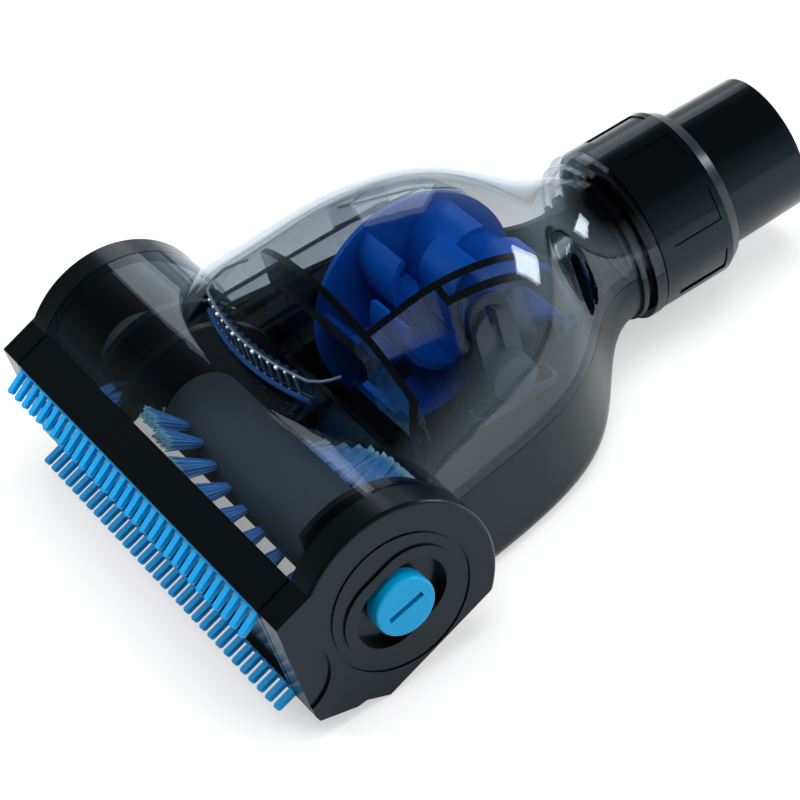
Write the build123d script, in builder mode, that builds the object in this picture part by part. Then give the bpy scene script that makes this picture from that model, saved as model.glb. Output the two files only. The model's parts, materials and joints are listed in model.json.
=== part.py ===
from build123d import *
import os
from math import acos, atan2, cos, degrees, radians, sin, sqrt

# Air-driven turbo brush for a vacuum cleaner. Millimetres, +Z up, +Y towards the wand.
# The brush roll lies along X at the front, the turbine sits behind it under a clear cover.
# X, Y and Z below are counted from the middle of the roll's axis unless a name says otherwise.

# Overall sizes
head_width = 155.0
front_reach = 39.5
rear_reach = 175.5
roll_height = 26.5
neck_rise = 2.3
knob_proud = 2.8
head_pitch = 20.0

# Walls and clearances
wall = 2.0
shell_gap = 0.3
seam_gap = 0.2
cap_gap = 0.8
running_fit = 0.05
seat_gap = 0.02

# Roll chamber, window and end caps
window_radius = 29.2
window_wall = 1.9
cap_radius = 29.0
cap_width = 9.0
cap_wall = 2.2
cap_end_wall = 5.0
sole_offset = 21.4
bar_edge = 15.2
bar_reach = 26.6
chin_reach = 35.8
chin_height = 7.0
chin_foot = 9.2
heel_reach = 26.7
heel_height = 15.7
step_reach = 23.9
step_height = 16.4
toe_reach = 18.8
mouth_rear = 13.7

# Body at stations along Y: half width and dome height; half width, base depth, corner.
# The base is drawn a little deeper than the sole, which is then trimmed flat.
dome_stations = [
    (-6.0, 60.0, 24.0),
    (5.0, 60.0, 31.0),
    (13.0, 60.0, 37.2),
    (25.0, 59.8, 41.0),
    (40.0, 57.8, 43.8),
    (55.0, 55.0, 46.2),
    (70.0, 50.8, 45.2),
    (85.0, 42.0, 40.5),
    (97.0, 30.5, 32.0),
    (106.0, 24.0, 25.8),
    (116.0, 22.5, 22.5),
]
base_stations = [
    (5.0, 60.0, 29.1, 5.0),
    (25.0, 59.8, 29.1, 5.0),
    (40.0, 57.8, 29.1, 5.0),
    (55.0, 55.0, 29.1, 5.0),
    (70.0, 50.8, 29.1, 6.0),
    (85.0, 42.0, 29.1, 8.0),
    (97.0, 30.5, 28.0, 14.0),
    (106.0, 24.0, 25.0, 19.0),
    (116.0, 22.5, 22.5, 20.0),
]

# Thumb grip on the front of the dome
grip_half_width = 27.0
grip_floor = 29.3
grip_front = 9.3
grip_sweep = 3.9
grip_top = 35.4
grip_ribs = 14
grip_rib_pitch = 3.5
grip_rib_radius = 0.9

# Oval air inlet in the cover's right flank
inlet_y = 95.8
inlet_z = 15.8
inlet_half_length = 7.4
inlet_half_width = 2.9
inlet_lean = 80.0

# Brush roll
core_radius = 12.5
core_left_gap = 1.5
core_right_gap = 1.2
bristle_radius = 25.5
tuft_root = 3.2
tuft_tip = 6.6
tuft_depth = 2.2
tuft_pitch = 8.5
tuft_apex_x = -12.0
tuft_apex_angle = 115.0
tuft_twist = 1.14
axle_radius = 2.5
bush_radius = 5.0
bush_length = 6.0
boss_radius = 7.5
carrier_setback = 7.3
end_play = 0.3

# Belt chamber and belt
chamber_left = -41.0
chamber_right = -27.0
pulley_hub_radius = 7.0
hub_clearance = 1.0
belt_x = -34.0
belt_width = 6.0
belt_thickness = 1.2
roll_pulley_radius = 9.0
turbine_pulley_radius = 4.5
pulley_lip = 1.4
pulley_lip_width = 1.3

# Turbine
turbine_y = 64.3
turbine_z = 9.2
turbine_radius = 31.6
turbine_disc_x = -12.0
disc_thickness = 1.6
far_row_end = 7.0
near_row_end = 24.2
web_radius = 16.0
vane_thickness = 1.8
vane_count = 7
vane_first = 106.0
vane_outline = ((29.0, 0.0), (23.8, 17.5), (16.5, 28.0), (8.0, 33.0))
hub_radius = 9.0
shaft_step = 1.0
shaft_radius = 2.5
turbine_bush_radius = 5.0
turbine_bush_length = 5.0
shaft_left = -38.6
bracket_boss_radius = 6.75
bracket_end = 39.0
bracket_step = 1.0
bracket_foot_reach = 13.0
bracket_foot_drop = 3.0
bracket_foot_thickness = 2.5
bracket_screw_inset = 3.2
clip_half_width = 6.2
clip_height = 21.0
clip_thickness = 3.0
clip_gap = 2.6
arch_thickness = 1.2
arch_height = 25.0
arch_hole_radius = 3.6

# Partitions: below the seam in the base, above it in the clear air guide
front_wall_y = 32.0
right_wall_x = 26.0
outer_rib_x = 31.0
outer_rib_start = 55.0
outer_rib_end = 76.0
wall_start = 17.0
wall_end = 92.0
chamber_end = 76.0
chamber_top = 20.0
guide_bend_y = 54.7
guide_front_x = -33.5
guide_low_top = 24.0
guide_web_low = 22.0
left_wall_line = ((54.7, 37.9), (79.3, 30.2), (94.1, 21.6), (98.8, 19.8))
thin_web = 0.8
thin_web_start = 61.6
thin_web_front_top = 36.4
thin_web_rear = 80.1
thin_web_rear_top = 39.0
rail_front_x = -31.5
rail_front_y = 56.0
rail_rear_x = -27.6
rail_rear_y = 81.0
rail_low = 28.0
rail_top = 36.0
air_window_left = -24.0
air_window_right = 22.0
air_window_low = -18.0
air_window_high = 27.0
bend_start = 45.0
bend_x = 50.6
bend_y = 27.0

# Neck, collar and swivelling connector
neck_radius = 22.5
neck_start = 116.0
neck_bore = 19.0
flange_radius = 25.9
flange_start = 119.0
flange_end = 122.4
bead_radius = 24.4
bead_start = 115.6
bead_end = 117.2
spigot_radius = 23.5
spigot_end = 140.0
socket_start = 124.3
lug_radius = 24.3
lug_clearance = 0.3
lug_start = 130.0
lug_end = 133.0
lug_arc = 14.0
lug_count = 4
collar_travel = 35.0
collar_radius = 25.6
collar_start = 123.0
collar_lip = 145.1
collar_shoulder = 145.5
collar_end = 149.0
collar_nose_radius = 23.7
collar_grips = 8
grip_arc = 22.0
grip_depth = 0.45
grip_start = 127.5
grip_end = 143.5
tube_radius = 20.9
tube_end_radius = 20.5
tube_bore = 17.6
tube_inner_bore = 16.8
socket_length = 40.0
tube_start = 126.5
tube_taper_start = 151.0
tube_flange_radius = 22.9
seal_bore = 17.8

# Combs
comb_pitch = 4.4
tooth_width = 2.1
tooth_thickness = 1.5
tooth_length = 7.0
strip_depth = 5.0
strip_height = 1.9
comb_end_wall = 0.5
tooth_drop = 0.15
upper_comb_y = -27.2
upper_comb_z = 22.8
upper_comb_tilt = 13.8
lower_comb_y = -35.4
lower_comb_z = -6.3
lower_comb_tilt = -1.0
lower_tooth_length = 6.4
panel_top = 18.6
panel_foot = -3.6
panel_recess = 1.4

# Lock knob and its cap
knob_radius = 8.7
knob_gap = 0.3
knob_stem_radius = 3.5
knob_tail_radius = 2.5
latch_reach = 14.5
latch_width = 7.0
latch_thickness = 1.8
slot_length = 10.9
slot_width = 1.6
slot_depth = 1.6
slot_turn = -7.0
recess_depth = 2.6
recess_length = 28.0
recess_width = 20.0
bead_outer_length = 34.8
bead_outer_width = 26.8
ring_radius = 20.4
ring_groove_width = 0.8
ring_groove_depth = 0.5
dimple_radius = 12.2
dimple_y = -34.5
dimple_z = 8.0
dimple_depth = 0.8

# Screws
screw_radius = 1.4
screw_length = 8.0
screw_head_radius = 2.8
screw_head_height = 1.6
cross_width = 0.8
cross_length = 3.4
cross_depth = 0.9
cap_screw_places = ((-24.5, 14.5), (-27.5, -1.0))

# Places that follow from the sizes above
mid = -knob_proud / 2
roll_y = (front_reach - rear_reach) / 2
roll_z = roll_height
neck_z = roll_height + neck_rise
cap_outer = head_width / 2
cap_inner = cap_outer - cap_width
cup_floor = cap_outer - cap_end_wall
rail_half = cap_inner - cap_gap
carrier_x = cap_inner - carrier_setback
core_right = carrier_x - core_right_gap
core_left = bush_length + core_left_gap - cup_floor
comb_half = rail_half - comb_end_wall
comb_teeth = int((2 * comb_half - tooth_width) / comb_pitch) + 1
window_inner = window_radius - window_wall
turn = radians(head_pitch)
far = 2 * head_width


def side(x):
    """Upright plane along the body at X, origin on the roll's axis, facing +X."""
    return Plane(origin=(mid + x, roll_y, roll_z), x_dir=(0, 1, 0), z_dir=(1, 0, 0))


def head_side(x):
    """As side(x), but turned with the head, whose end faces rise towards the rear."""
    return Plane(
        origin=(mid + x, roll_y, roll_z),
        x_dir=(0, cos(turn), sin(turn)),
        z_dir=(1, 0, 0),
    )


def plan(z):
    """Level plane at Z, origin over the roll's middle."""
    return Plane(origin=(mid, roll_y, roll_z + z), x_dir=(1, 0, 0), z_dir=(0, 0, 1))


def across(y):
    """Upright plane across the body at Y, origin on the neck's axis."""
    return Plane(origin=(mid, roll_y + y, neck_z), x_dir=(1, 0, 0), z_dir=(0, -1, 0))


def neck_face(y):
    """Plane across the neck at Y that faces the wand, origin on the neck's axis."""
    return Plane(origin=(mid, roll_y + y, neck_z), x_dir=(-1, 0, 0), z_dir=(0, 1, 0))


def turbine_side(x):
    """Upright plane at X, origin on the turbine's axis, facing +X."""
    return Plane(
        origin=(mid + x, roll_y + turbine_y, roll_z + turbine_z),
        x_dir=(0, 1, 0),
        z_dir=(1, 0, 0),
    )


def place(x, y, z):
    """Point counted from the middle of the roll's axis."""
    return (mid + x, roll_y + y, roll_z + z)


def dome_body(margin):
    """Upper half of the body, smaller than the outside by a margin."""
    with BuildPart() as body:
        for y, half, height in dome_stations:
            with BuildSketch(across(y)):
                with BuildLine():
                    EllipticalCenterArc(
                        (0, 0), half - margin, height - margin, start_angle=0, arc_size=180
                    )
                    Line((margin - half, 0), (half - margin, 0))
                make_face()
        loft()
    return body.part


def tub_body(margin):
    """Lower half of the body with upright sides and a flat sole, smaller by a margin."""
    with BuildPart() as body:
        for y, outer_half, outer_depth, outer_corner in base_stations:
            half = outer_half - margin
            depth = outer_depth - margin
            corner = outer_corner - margin
            flat = half - corner
            with BuildSketch(across(y)):
                with BuildLine():
                    Line((-half, -seam_gap), (half, -seam_gap))
                    Line((half, -seam_gap), (half, corner - depth))
                    CenterArc((flat, corner - depth), corner, 0, -90)
                    Line((flat, -depth), (-flat, -depth))
                    CenterArc((-flat, corner - depth), corner, -90, -90)
                    Line((-half, corner - depth), (-half, -seam_gap))
                make_face()
        loft()
    return body.part


def head_bar(start, length, inset):
    """Length of the head's side outline: round behind, a chin and a bar in front."""
    radius = cap_radius - inset
    sole = sole_offset - inset
    heel_angle = degrees(acos(sole / radius)) - 90
    heel_y = radius * cos(radians(heel_angle))
    bar_z = sqrt(radius**2 - bar_edge**2)
    bar_angle = degrees(atan2(bar_z, -bar_edge))
    with BuildPart() as bar:
        with BuildSketch(head_side(start)):
            with BuildLine():
                CenterArc((0, 0), radius, heel_angle, bar_angle - heel_angle)
                Polyline(
                    (-bar_edge, bar_z),
                    (inset - bar_reach, bar_z),
                    (inset - chin_reach, -chin_height),
                    (inset - chin_reach, inset - chin_foot),
                    (inset / 2 - heel_reach, inset - heel_height),
                    (inset / 2 - step_reach, inset - step_height),
                    (inset / 2 - toe_reach, -sole),
                    (heel_y, -sole),
                )
            make_face()
        extrude(amount=length)
    return bar.part


def round_bar(plane, radius, length):
    """Plain cylinder from a plane."""
    with BuildPart() as bar:
        with BuildSketch(plane):
            Circle(radius)
        extrude(amount=length)
    return bar.part


def block(x0, x1, y0, y1, z0, z1):
    """Plain block between two corners, counted from the roll's middle."""
    with BuildPart() as solid:
        with Locations(place((x0 + x1) / 2, (y0 + y1) / 2, (z0 + z1) / 2)):
            Box(x1 - x0, y1 - y0, z1 - z0)
    return solid.part


def turned(points, y, z):
    """Body turned about an axis along X at (y, z), from (x, radius) points."""
    plane = Plane(origin=place(0, y, z), x_dir=(1, 0, 0), z_dir=(0, -1, 0))
    with BuildPart() as body:
        with BuildSketch(plane):
            with BuildLine():
                Polyline(*points, close=True)
            make_face()
        revolve(axis=Axis(place(0, y, z), (1, 0, 0)))
    return body.part


def neck_turned(points):
    """Body turned about the neck's axis, from (y, radius) points."""
    middle = (mid, roll_y, neck_z)
    plane = Plane(origin=middle, x_dir=(0, 1, 0), z_dir=(1, 0, 0))
    with BuildPart() as body:
        with BuildSketch(plane):
            with BuildLine():
                Polyline(*points, close=True)
            make_face()
        revolve(axis=Axis(middle, (0, 1, 0)))
    return body.part


def sector(start, length, radius, first, arc):
    """Pie slice about the neck's axis from Y, from a first angle over an arc."""
    with BuildPart() as slice_body:
        with BuildSketch(neck_face(start)):
            with BuildLine():
                edge = CenterArc((0, 0), radius, first, arc)
                Line((0, 0), edge @ 0)
                Line(edge @ 1, (0, 0))
            make_face()
        extrude(amount=length)
    return slice_body.part


def scoop(margin):
    """Hollow in front of the thumb grip, grown by a margin."""
    half = grip_half_width + margin
    ends = grip_front + grip_sweep + margin
    with BuildPart() as hollow:
        with BuildSketch(plan(grip_floor - margin)):
            with BuildLine():
                ThreePointArc((-half, ends), (0, grip_front + margin), (half, ends))
                Polyline((half, ends), (half, -window_radius), (-half, -window_radius), (-half, ends))
            make_face()
        extrude(amount=window_radius)
    return hollow.part


def screw(x, y, z, plane_turn, length):
    """Pan-head screw with a cross recess; its head's underside lies at the place."""
    with BuildPart() as body:
        with BuildSketch(Plane(origin=place(x, y, z), x_dir=plane_turn[0], z_dir=plane_turn[1])):
            Circle(screw_head_radius)
        extrude(amount=screw_head_height)
        fillet(body.edges().filter_by(GeomType.CIRCLE).sort_by_distance(place(x, y, z))[-1], 0.8)
        with BuildSketch(Plane(origin=place(x, y, z), x_dir=plane_turn[0], z_dir=plane_turn[1])):
            Circle(screw_radius)
        extrude(amount=-length)
        head_top = Vector(*place(x, y, z)) + Vector(*plane_turn[1]) * screw_head_height
        with BuildSketch(Plane(origin=head_top, x_dir=plane_turn[0], z_dir=plane_turn[1])):
            Rectangle(cross_length, cross_width)
            Rectangle(cross_width, cross_length)
        extrude(amount=-cross_depth, mode=Mode.SUBTRACT)
    return body.part


os.makedirs("parts", exist_ok=True)

# Volumes that the shells and partitions share
dome_outside = dome_body(0.0)
dome_inside = dome_body(wall)
dome_fit = dome_body(wall + shell_gap)
tub_outside = tub_body(0.0)
tub_inside = tub_body(wall)
tub_fit = tub_body(wall / 2)
roll_space = round_bar(side(-cap_outer), window_inner, head_width)
above_seam = block(-far, far, -far, far, neck_rise, far)
below_seam = block(-far, far, -far, far, -far, neck_rise - seam_gap)

# The neck is turned whole and then shared by the two shells: a bead, a flange against
# the collar, and a spigot with bayonet lugs that holds the seal and the connector.
socket_radius = tube_radius + running_fit
neck_outline = [
    (bead_start, neck_bore),
    (bead_start, bead_radius),
    (bead_end, bead_radius),
    (bead_end, neck_radius),
    (flange_start, neck_radius),
    (flange_start, flange_radius),
    (flange_end, flange_radius),
    (flange_end, spigot_radius),
    (spigot_end, spigot_radius),
    (spigot_end, socket_radius),
    (socket_start, socket_radius),
    (socket_start, neck_bore),
]
with BuildPart() as neck_ring:
    add(neck_turned(neck_outline))
    for number in range(lug_count):
        middle_angle = (number + 0.5) * 360 / lug_count
        add(sector(lug_start, lug_end - lug_start, lug_radius, middle_angle - lug_arc / 2, lug_arc))
    add(round_bar(neck_face(socket_start), socket_radius, spigot_end), mode=Mode.SUBTRACT)
with BuildPart() as lower_neck:
    add(neck_ring.part)
    add(below_seam, mode=Mode.INTERSECT)
with BuildPart() as upper_neck:
    add(neck_ring.part)
    add(above_seam, mode=Mode.INTERSECT)

# Partitions: the belt chamber's two walls, the rounded ribs round the roll, the front
# wall with the air window, and the walls beside the turbine with their bearing slots.
with BuildPart() as arches:
    for x in (chamber_left, chamber_right):
        with BuildSketch(side(x - wall / 2)):
            Circle(window_inner + window_wall / 2)
            Circle(pulley_hub_radius + hub_clearance, mode=Mode.SUBTRACT)
        extrude(amount=wall)
    with BuildSketch(side(-cap_outer)):
        with BuildLine():
            Polyline(
                (0, 0),
                (far * cos(radians(298)), far * sin(radians(298))),
                (-far, -far),
                (far * cos(radians(140)), far * sin(radians(140))),
                close=True,
            )
        make_face()
    extrude(amount=head_width, mode=Mode.SUBTRACT)
    add(above_seam, mode=Mode.INTERSECT)
    add(round_bar(side(-cap_outer), window_inner - shell_gap, head_width), mode=Mode.INTERSECT)
with BuildPart() as lower_arches:
    for x in (chamber_left, chamber_right):
        with BuildSketch(side(x - wall / 2)):
            Circle(window_inner + window_wall / 2)
            Circle(pulley_hub_radius + hub_clearance, mode=Mode.SUBTRACT)
            with Locations((mouth_rear - far / 2, 0)):
                Rectangle(far, far, mode=Mode.SUBTRACT)
            with Locations((0, neck_rise + far / 2)):
                Rectangle(far, far, mode=Mode.SUBTRACT)
        extrude(amount=wall)

bush_seat = turbine_bush_radius + seat_gap
boss_seat = bracket_boss_radius + seat_gap
half_wall = wall / 2


def partition_plan(x0, y0, x1, y1, bottom, top):
    """Straight upright wall between two points seen from above."""
    run = sqrt((x1 - x0) ** 2 + (y1 - y0) ** 2)
    with BuildPart() as upright:
        with BuildSketch(plan(bottom)):
            with Locations(Location(((x0 + x1) / 2, (y0 + y1) / 2), degrees(atan2(y1 - y0, x1 - x0)))):
                Rectangle(run + wall, wall)
        extrude(amount=top - bottom)
    return upright.part


def partitions(bottom, top):
    """Front wall with its bend and air window, right wall with its outer rib, chamber."""
    with BuildPart() as walls:
        add(partition_plan(chamber_right, front_wall_y, bend_start, front_wall_y, bottom, top))
        add(partition_plan(bend_start, front_wall_y, bend_x, bend_y, bottom, top))
        add(
            block(
                air_window_left,
                air_window_right,
                front_wall_y - wall,
                front_wall_y + wall,
                air_window_low,
                air_window_high,
            ),
            mode=Mode.SUBTRACT,
        )
        add(partition_plan(right_wall_x, front_wall_y, right_wall_x, wall_end, bottom, top))
        add(partition_plan(outer_rib_x, outer_rib_start, outer_rib_x, outer_rib_end, bottom, top))
        add(partition_plan(right_wall_x, outer_rib_start, outer_rib_x, outer_rib_start, bottom, top))
    return walls.part


def chamber_walls(bottom, top, near_top):
    """Near wall, far wall and rear end of the belt's chamber."""
    with BuildPart() as walls:
        add(partition_plan(chamber_right, wall_start, chamber_right, wall_end, bottom, near_top))
        add(partition_plan(chamber_left, wall_start, chamber_left, chamber_end, bottom, top))
        add(partition_plan(chamber_left, chamber_end, chamber_right, chamber_end, bottom, top))
    return walls.part


floor_level = -roll_height
with BuildPart() as sunk_walls:
    add(partitions(floor_level, neck_rise))
    add(chamber_walls(floor_level, neck_rise, neck_rise))
    add(round_bar(turbine_side(chamber_right - wall), bush_seat, 2 * wall), mode=Mode.SUBTRACT)
    add(round_bar(turbine_side(right_wall_x - wall), boss_seat, outer_rib_x), mode=Mode.SUBTRACT)
    add(tub_fit, mode=Mode.INTERSECT)

# Base housing: lower shell with the mouth's rear wall, the partitions and half of the neck
bracket_y0 = turbine_y - bracket_foot_reach
bracket_y1 = turbine_y + bracket_foot_reach
bracket_foot_z = turbine_z - bracket_boss_radius - bracket_foot_drop
bracket_screw_x = (outer_rib_x + wall / 2 + bracket_end - bracket_step) / 2
bracket_screw_places = (bracket_y0 + bracket_screw_inset, bracket_y1 - bracket_screw_inset)
cradle_half = turbine_bush_radius - shell_gap
with BuildPart() as tub_shell:
    add(tub_outside)
    add(tub_inside, mode=Mode.SUBTRACT)
    add(roll_space, mode=Mode.SUBTRACT)
    add(block(-far, far, -far, mouth_rear, -far, far), mode=Mode.SUBTRACT)
    add(block(-far, far, -far, far, -far, floor_level), mode=Mode.SUBTRACT)
with BuildPart() as mouth_wall:
    with BuildSketch(side(-rail_half)):
        Circle(window_radius)
        Circle(window_inner, mode=Mode.SUBTRACT)
        with Locations((mouth_rear - far / 2, 0)):
            Rectangle(far, far, mode=Mode.SUBTRACT)
        with Locations((0, neck_rise - seam_gap + far / 2)):
            Rectangle(far, far, mode=Mode.SUBTRACT)
    extrude(amount=2 * rail_half)
with BuildPart() as base_housing:
    add(tub_shell.part)
    add(lower_neck.part)
    add(mouth_wall.part)
    add(sunk_walls.part)
    add(
        block(
            outer_rib_x + half_wall,
            bracket_end - bracket_step,
            bracket_y0,
            bracket_y1,
            floor_level + half_wall,
            bracket_foot_z,
        )
    )
    add(
        block(
            chamber_right - half_wall,
            chamber_right + half_wall,
            turbine_y - cradle_half,
            turbine_y + cradle_half,
            -half_wall,
            turbine_z,
        )
        - round_bar(turbine_side(chamber_right - wall), bush_seat, 2 * wall)
    )
    add(
        block(chamber_left + wall, chamber_right - wall, 0, window_radius + wall, -15, far),
        mode=Mode.SUBTRACT,
    )
    for y in bracket_screw_places:
        with BuildSketch(plan(bracket_foot_z)):
            with Locations((bracket_screw_x, y)):
                Circle(screw_radius + seat_gap)
        extrude(amount=-screw_length, mode=Mode.SUBTRACT)
    add(lower_arches.part)
    add(arches.part)
base_housing.part.label = "base_housing"
export_step(base_housing.part, "parts/base_housing.step")

# Air guide: clear insert on the base's partitions. Its left wall leans out at the front,
# sinks towards the neck, and carries a thin web and a slanted rail up to the dome.
with BuildPart() as left_guide:
    with BuildSketch(side(chamber_right - half_wall)):
        with BuildLine():
            Polyline(
                (wall_start, neck_rise),
                (wall_start, guide_low_top),
                (guide_bend_y - wall, guide_low_top),
                (guide_bend_y - wall, left_wall_line[0][1]),
                *left_wall_line,
                (left_wall_line[-1][0], neck_rise),
                close=True,
            )
        make_face()
    extrude(amount=wall)
    with BuildSketch(side(chamber_right - half_wall)):
        with BuildLine():
            Polyline(
                (thin_web_start, neck_rise),
                (thin_web_start, thin_web_front_top),
                (thin_web_rear, thin_web_rear_top),
                (left_wall_line[-1][0], thin_web_rear_top),
                (left_wall_line[-1][0], neck_rise),
                close=True,
            )
        make_face()
    extrude(amount=thin_web)
    add(
        partition_plan(
            guide_front_x, wall_start, chamber_right, guide_bend_y, guide_web_low, 2 * window_radius
        )
    )
    add(partition_plan(rail_front_x, rail_front_y, rail_rear_x, rail_rear_y, rail_low, rail_top))
    add(
        partition_plan(
            rail_rear_x, rail_rear_y, chamber_right, rail_rear_y, rail_low, rail_top
        )
    )
with BuildPart() as air_guide:
    add(partitions(neck_rise, 2 * window_radius))
    add(left_guide.part)
    add(partition_plan(chamber_left, wall_start, chamber_left, chamber_end, neck_rise, chamber_top))
    add(partition_plan(chamber_left, chamber_end, chamber_right, chamber_end, neck_rise, chamber_top))
    for x, reach, seat in (
        (chamber_right - wall, 2 * wall, bush_seat),
        (right_wall_x - wall, outer_rib_x, boss_seat),
    ):
        add(round_bar(turbine_side(x), seat, reach), mode=Mode.SUBTRACT)
        add(
            block(x, x + reach, turbine_y - seat, turbine_y + seat, neck_rise, turbine_z),
            mode=Mode.SUBTRACT,
        )
    add(round_bar(side(-cap_outer), window_inner, head_width), mode=Mode.SUBTRACT)
    add(dome_fit, mode=Mode.INTERSECT)
air_guide.part.label = "air_guide"
export_step(air_guide.part, "parts/air_guide.step")

# Top cover: clear window over the roll, dome with the thumb grip, upper half of the neck
with BuildPart() as dome_hollow:
    add(dome_inside)
    add(scoop(wall), mode=Mode.SUBTRACT)
with BuildPart() as window:
    with BuildSketch(side(-rail_half)):
        Circle(window_radius)
        Circle(window_inner, mode=Mode.SUBTRACT)
        with Locations((0, neck_rise - far / 2)):
            Rectangle(far, far, mode=Mode.SUBTRACT)
    extrude(amount=2 * rail_half)
    with BuildSketch(head_side(-rail_half)):
        with Locations((-bar_edge + seam_gap - far / 2, 0)):
            Rectangle(far, far)
    extrude(amount=2 * rail_half, mode=Mode.SUBTRACT)
    add(dome_hollow.part, mode=Mode.SUBTRACT)
with BuildPart() as top_cover:
    add(dome_outside)
    add(scoop(0.0), mode=Mode.SUBTRACT)
    add(dome_hollow.part, mode=Mode.SUBTRACT)
    add(roll_space, mode=Mode.SUBTRACT)
    add(window.part)
    for number in range(grip_ribs):
        x = (number - (grip_ribs - 1) / 2) * grip_rib_pitch
        y = grip_front + grip_sweep * (x / grip_half_width) ** 2
        with BuildSketch(plan(grip_floor - wall / 2)):
            with Locations((x, y)):
                Circle(grip_rib_radius)
        extrude(amount=grip_top - grip_floor + wall / 2)
    with BuildSketch(side(inlet_y / 8)):
        with Locations(Location((inlet_y, inlet_z), inlet_lean)):
            Ellipse(inlet_half_length, inlet_half_width)
    extrude(amount=inlet_y / 2, mode=Mode.SUBTRACT)
    add(upper_neck.part)
top_cover.part.label = "top_cover"
export_step(top_cover.part, "parts/top_cover.step")

# Front frame: the bar under the window, the recessed face and the mouth's front lip
with BuildPart() as front_frame:
    add(head_bar(-rail_half, 2 * rail_half, 0.0))
    add(round_bar(side(-cap_outer), window_inner, head_width), mode=Mode.SUBTRACT)
    with BuildSketch(head_side(-cap_outer)):
        with Locations((-bar_edge + far / 2, far / 2)):
            Rectangle(far, far)
        with Locations((-toe_reach + 1.4 + far / 2, -far / 2)):
            Rectangle(far, far)
    extrude(amount=head_width, mode=Mode.SUBTRACT)
    with BuildSketch(head_side(-rail_half + wall)):
        with BuildLine():
            Polyline(
                (-bar_reach - 2.6, panel_top),
                (-chin_reach - 0.3, panel_foot),
                (-chin_reach + panel_recess + 1.1, panel_foot),
                (-bar_reach - 2.6 + panel_recess + 1.2, panel_top),
                close=True,
            )
        make_face()
    extrude(amount=2 * (rail_half - wall), mode=Mode.SUBTRACT)
    for y, z in ((upper_comb_y, upper_comb_z), (lower_comb_y, lower_comb_z)):
        with BuildSketch(head_side(-comb_half)):
            with Locations((y, z)):
                Rectangle(2 * strip_depth + 2 * seat_gap, strip_height + 2 * seat_gap)
        extrude(amount=2 * comb_half, mode=Mode.SUBTRACT)
    for y, z in cap_screw_places:
        with BuildSketch(head_side(-rail_half)):
            with Locations((y, z)):
                Circle(screw_radius + seat_gap)
        extrude(amount=screw_length, mode=Mode.SUBTRACT)
front_frame.part.label = "front_frame"
export_step(front_frame.part, "parts/front_frame.step")


def comb(y, z, tilt, tooth_reach):
    """Comb strip that fills its slot, with a row of round-tipped teeth in front."""
    with BuildPart() as body:
        with BuildSketch(head_side(-comb_half + seat_gap)):
            with Locations((y + strip_depth / 2, z)):
                Rectangle(strip_depth, strip_height)
        extrude(amount=2 * (comb_half - seat_gap))
        base = z - tooth_drop
        tooth_plane = Plane(
            origin=place(0, y * cos(turn) - base * sin(turn), y * sin(turn) + base * cos(turn)),
            x_dir=(1, 0, 0),
            z_dir=(0, -sin(turn + radians(tilt)), cos(turn + radians(tilt))),
        )
        with BuildSketch(tooth_plane):
            with GridLocations(comb_pitch, 1, comb_teeth, 1):
                with Locations((0, (tooth_width / 2 - tooth_reach) / 2)):
                    SlotOverall(tooth_reach + tooth_width / 2, tooth_width, rotation=90)
        extrude(amount=tooth_thickness / 2, both=True)
    return body.part


# Combs: blue teeth that lift fibres in front of the mouth, above and below the face
with BuildPart() as upper_comb:
    add(comb(upper_comb_y, upper_comb_z, upper_comb_tilt, tooth_length))
upper_comb.part.label = "upper_comb"
export_step(upper_comb.part, "parts/upper_comb.step")
with BuildPart() as lower_comb:
    add(comb(lower_comb_y, lower_comb_z, lower_comb_tilt, lower_tooth_length))
lower_comb.part.label = "lower_comb"
export_step(lower_comb.part, "parts/lower_comb.step")

# End caps: cups that close the head; the right one carries the lock knob in a long recess
bush_hole = bush_radius + seat_gap
with BuildPart() as left_end_cap:
    add(head_bar(-cap_outer, cap_width, 0.0))
    add(head_bar(-cup_floor, cap_width, cap_wall), mode=Mode.SUBTRACT)
    add(round_bar(side(-cup_floor - 1), boss_radius, bush_length + 1))
    add(round_bar(side(-cup_floor), bush_hole, cap_width), mode=Mode.SUBTRACT)
    outer_rim = left_end_cap.edges().group_by(Axis.X)[0]
    fillet(outer_rim.filter_by(GeomType.CIRCLE), 1.2)
    for y, z in cap_screw_places:
        with BuildSketch(head_side(-cap_outer)):
            with Locations((y, z)):
                Circle(screw_head_radius + shell_gap)
        extrude(amount=screw_head_height, mode=Mode.SUBTRACT)
        with BuildSketch(head_side(-cap_outer)):
            with Locations((y, z)):
                Circle(screw_radius + seat_gap)
        extrude(amount=cap_width, mode=Mode.SUBTRACT)
left_end_cap.part.label = "left_end_cap"
export_step(left_end_cap.part, "parts/left_end_cap.step")

recess_floor = cap_outer - recess_depth
knob_front = cap_outer + knob_proud
with BuildPart() as right_end_cap:
    add(head_bar(cap_inner, cap_width, 0.0))
    add(head_bar(cap_inner - 1, cap_width - cap_end_wall + 1, cap_wall), mode=Mode.SUBTRACT)
    outer_rim = right_end_cap.edges().group_by(Axis.X)[-1]
    fillet(outer_rim.filter_by(GeomType.CIRCLE), 1.2)
    with BuildSketch(head_side(cap_outer)):
        SlotOverall(bead_outer_length, bead_outer_width)
    extrude(amount=0.7)
    with BuildSketch(head_side(recess_floor)):
        SlotOverall(recess_length, recess_width)
    extrude(amount=recess_depth + 1, mode=Mode.SUBTRACT)
    with BuildSketch(head_side(cap_outer - ring_groove_depth)):
        Circle(ring_radius + ring_groove_width / 2)
        Circle(ring_radius - ring_groove_width / 2, mode=Mode.SUBTRACT)
    extrude(amount=ring_groove_depth + 1, mode=Mode.SUBTRACT)
    with BuildSketch(head_side(cap_outer - dimple_depth)):
        with Locations((dimple_y, dimple_z)):
            Circle(dimple_radius)
    extrude(amount=dimple_depth, mode=Mode.SUBTRACT)
    add(round_bar(side(cup_floor - 1), knob_stem_radius + running_fit, cap_width), mode=Mode.SUBTRACT)
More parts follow.
